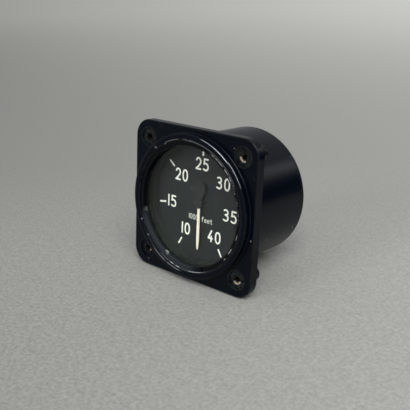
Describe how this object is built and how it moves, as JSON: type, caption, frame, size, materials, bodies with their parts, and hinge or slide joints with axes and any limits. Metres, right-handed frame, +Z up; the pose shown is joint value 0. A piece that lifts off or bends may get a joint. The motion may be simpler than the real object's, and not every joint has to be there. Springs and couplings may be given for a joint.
{
  "type": "aircraft altimeter",
  "caption": "Round-dial aneroid altimeter with a square mounting flange, a bare numbered dial, one pointer and a working geared movement.",
  "frame": {"origin": "on the bezel's axis, in the plane of the flange's front face, which seats on a panel", "axes": "-Y out of the dial towards the viewer, +Z up the dial, +X to the right of the dial seen from the front"},
  "size_m": [0.0814, 0.0628, 0.0814],
  "materials": {
    "case_paint": "black crackle enamel, worn at the edges",
    "ring_paint": "blackened steel with bright worn edges",
    "insert_brass": "dull aged brass",
    "glass": "clear mineral glass",
    "gasket_rubber": "black rubber",
    "dial_ring_paint": "matt dark grey green paint",
    "dial_paint": "matt dark grey green dial paint",
    "pointer_paint": "matt cream white paint",
    "counterweight_paint": "matt black paint",
    "hub_paint": "satin black paint",
    "steel": "turned steel",
    "spring_steel": "blued spring steel",
    "brass": "turned brass",
    "plate_brass": "brushed brass plate",
    "bush_brass": "polished brass",
    "bimetal": "bonded strip, copper-coloured face",
    "capsule_bronze": "pressed bronze foil",
    "screw_paint": "blackened steel",
    "port_brass": "machined brass",
    "washer_fibre": "red fibre sealing washer"
  },
  "bodies": {
    "case": {"case": "case_paint", "threaded_inserts": "insert_brass", "retaining_ring": "ring_paint", "glass": "glass", "glass_gasket": "gasket_rubber", "dial_ring": "dial_ring_paint", "dial_plate": "dial_paint", "hairspring": "spring_steel", "hairspring_stud": "steel", "front_plate": "plate_brass", "middle_plate": "plate_brass", "base_plate": "plate_brass", "front_pillars": "brass", "rear_pillars": "brass", "front_plate_screws": "steel", "staff_bushes": "bush_brass", "sector_bushes": "bush_brass", "banking_pins": "steel", "rocker_brackets": "brass", "bracket_screws": "steel", "rear_capsule": "capsule_bronze", "capsule_stud": "steel", "capsule_nut": "brass", "rear_cover": "case_paint", "rear_gasket": "gasket_rubber", "cover_screws": "screw_paint", "movement_screws": "screw_paint", "static_port": "port_brass", "port_washer": "washer_fibre"},
    "pointer": {"pointer": "pointer_paint", "pointer_counterweight": "counterweight_paint", "pointer_hub": "hub_paint", "hand_staff": "steel", "staff_pinion": "brass", "hairspring_collet": "brass"},
    "sector": {"toothed_sector": "plate_brass", "sector_arbor": "steel", "sector_tail": "brass"},
    "rocker": {"rocking_shaft": "steel", "drive_finger": "brass", "arm_collar": "steel", "bimetal_arm": "bimetal", "arm_pin": "steel", "balance_weight": "bush_brass"},
    "link": {"link_fork": "brass", "capsule_boss": "steel"},
    "capsule_middle": {"front_capsule": "capsule_bronze", "capsule_joint": "steel"}
  },
  "joints": [
    {"name": "sector_turn", "type": "hinge", "parent": "case", "child": "sector", "pos_m": [-0.01967, 0.0208, 0.00884], "axis": [0, -1, 0], "range_deg": [0, 33]},
    {"name": "pointer_turn", "type": "hinge", "parent": "case", "child": "pointer", "pos_m": [0, 0.0072, 0], "axis": [0, 1, 0], "range_deg": [0, 330], "deforming": ["hairspring"]},
    {"name": "rocker_turn", "type": "hinge", "parent": "case", "child": "rocker", "pos_m": [0, 0.03085, 0.00884], "axis": [-1, 0, 0], "range_deg": [0, 20]},
    {"name": "link_slide", "type": "slide", "parent": "case", "child": "link", "axis": [0, -1, 0], "range_m": [0, 0.00307], "deforming": ["front_capsule"]},
    {"name": "capsule_middle_slide", "type": "slide", "parent": "case", "child": "capsule_middle", "axis": [0, -1, 0], "range_m": [0, 0.00153], "deforming": ["rear_capsule"]}
  ],
  "couplings": [
    {"joint": "pointer_turn", "follows": "sector_turn", "ratio": 10},
    {"joint": "rocker_turn", "follows": "sector_turn", "ratio": 0.60606},
    {"joint": "link_slide", "follows": "sector_turn", "m_per_rad": 0.00533},
    {"joint": "capsule_middle_slide", "follows": "sector_turn", "m_per_rad": 0.002665}
  ]
}
